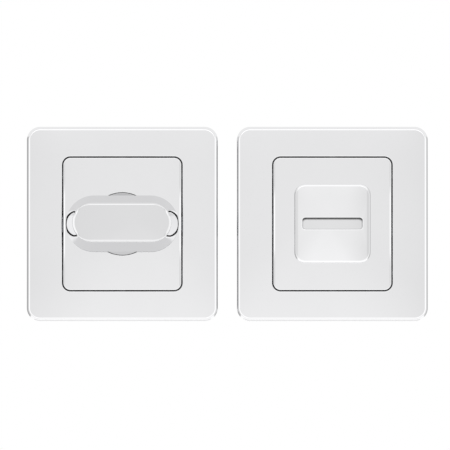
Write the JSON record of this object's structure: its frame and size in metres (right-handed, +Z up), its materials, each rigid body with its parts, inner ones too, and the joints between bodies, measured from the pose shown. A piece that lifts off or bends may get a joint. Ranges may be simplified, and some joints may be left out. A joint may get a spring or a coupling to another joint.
{
  "type": "bathroom thumb turn and release",
  "caption": "Polished square bathroom thumb turn rose with spindle and bolts, and its matching coin-slot emergency release rose, laid side by side.",
  "frame": {"origin": "where the thumb turn's axis meets the door face", "axes": "+Y into the door, fronts towards -Y; +X to the right seen from the front, towards the release half; +Z up"},
  "size_m": [0.1113, 0.072, 0.054],
  "materials": {
    "chrome_plate": "polished chrome plate over zinc alloy",
    "zinc_casting": "bare zinc alloy die-casting, satin",
    "bright_steel": "cold drawn steel bar",
    "spring_steel": "hardened and oiled spring steel",
    "zinc_plated_steel": "bright zinc plated steel",
    "nylon": "natural moulded nylon"
  },
  "bodies": {
    "roses": {"turn_rose_cover": "chrome_plate", "turn_centre_panel": "chrome_plate", "turn_fixing_plate": "zinc_casting", "turn_bush": "nylon", "turn_cover_clips": "spring_steel", "turn_wave_washer": "spring_steel", "turn_panel_screws": "zinc_plated_steel", "turn_thrust_washer": "zinc_plated_steel", "release_rose_cover": "chrome_plate", "release_centre_panel": "chrome_plate", "release_fixing_plate": "zinc_casting", "release_bush": "nylon", "release_cover_clips": "spring_steel", "release_wave_washer": "spring_steel", "release_panel_screws": "zinc_plated_steel", "release_thrust_washer": "zinc_plated_steel", "turn_fixing_bolts": "zinc_plated_steel", "release_threaded_posts": "zinc_plated_steel"},
    "thumb_turn": {"thumb_turn_knob": "chrome_plate", "turn_spindle": "bright_steel", "turn_rolled_pin": "spring_steel", "turn_circlip": "spring_steel"},
    "release": {"release_button": "chrome_plate", "release_circlip": "spring_steel"}
  },
  "joints": [
    {"name": "thumb_turn_spin", "type": "hinge", "parent": "roses", "child": "thumb_turn", "pos_m": [0, 0, 0], "axis": [0, 1, 0], "range_deg": [0, 90]},
    {"name": "release_spin", "type": "hinge", "parent": "roses", "child": "release", "pos_m": [0.0583, 0, 0], "axis": [0, -1, 0], "range_deg": [0, 90]}
  ]
}
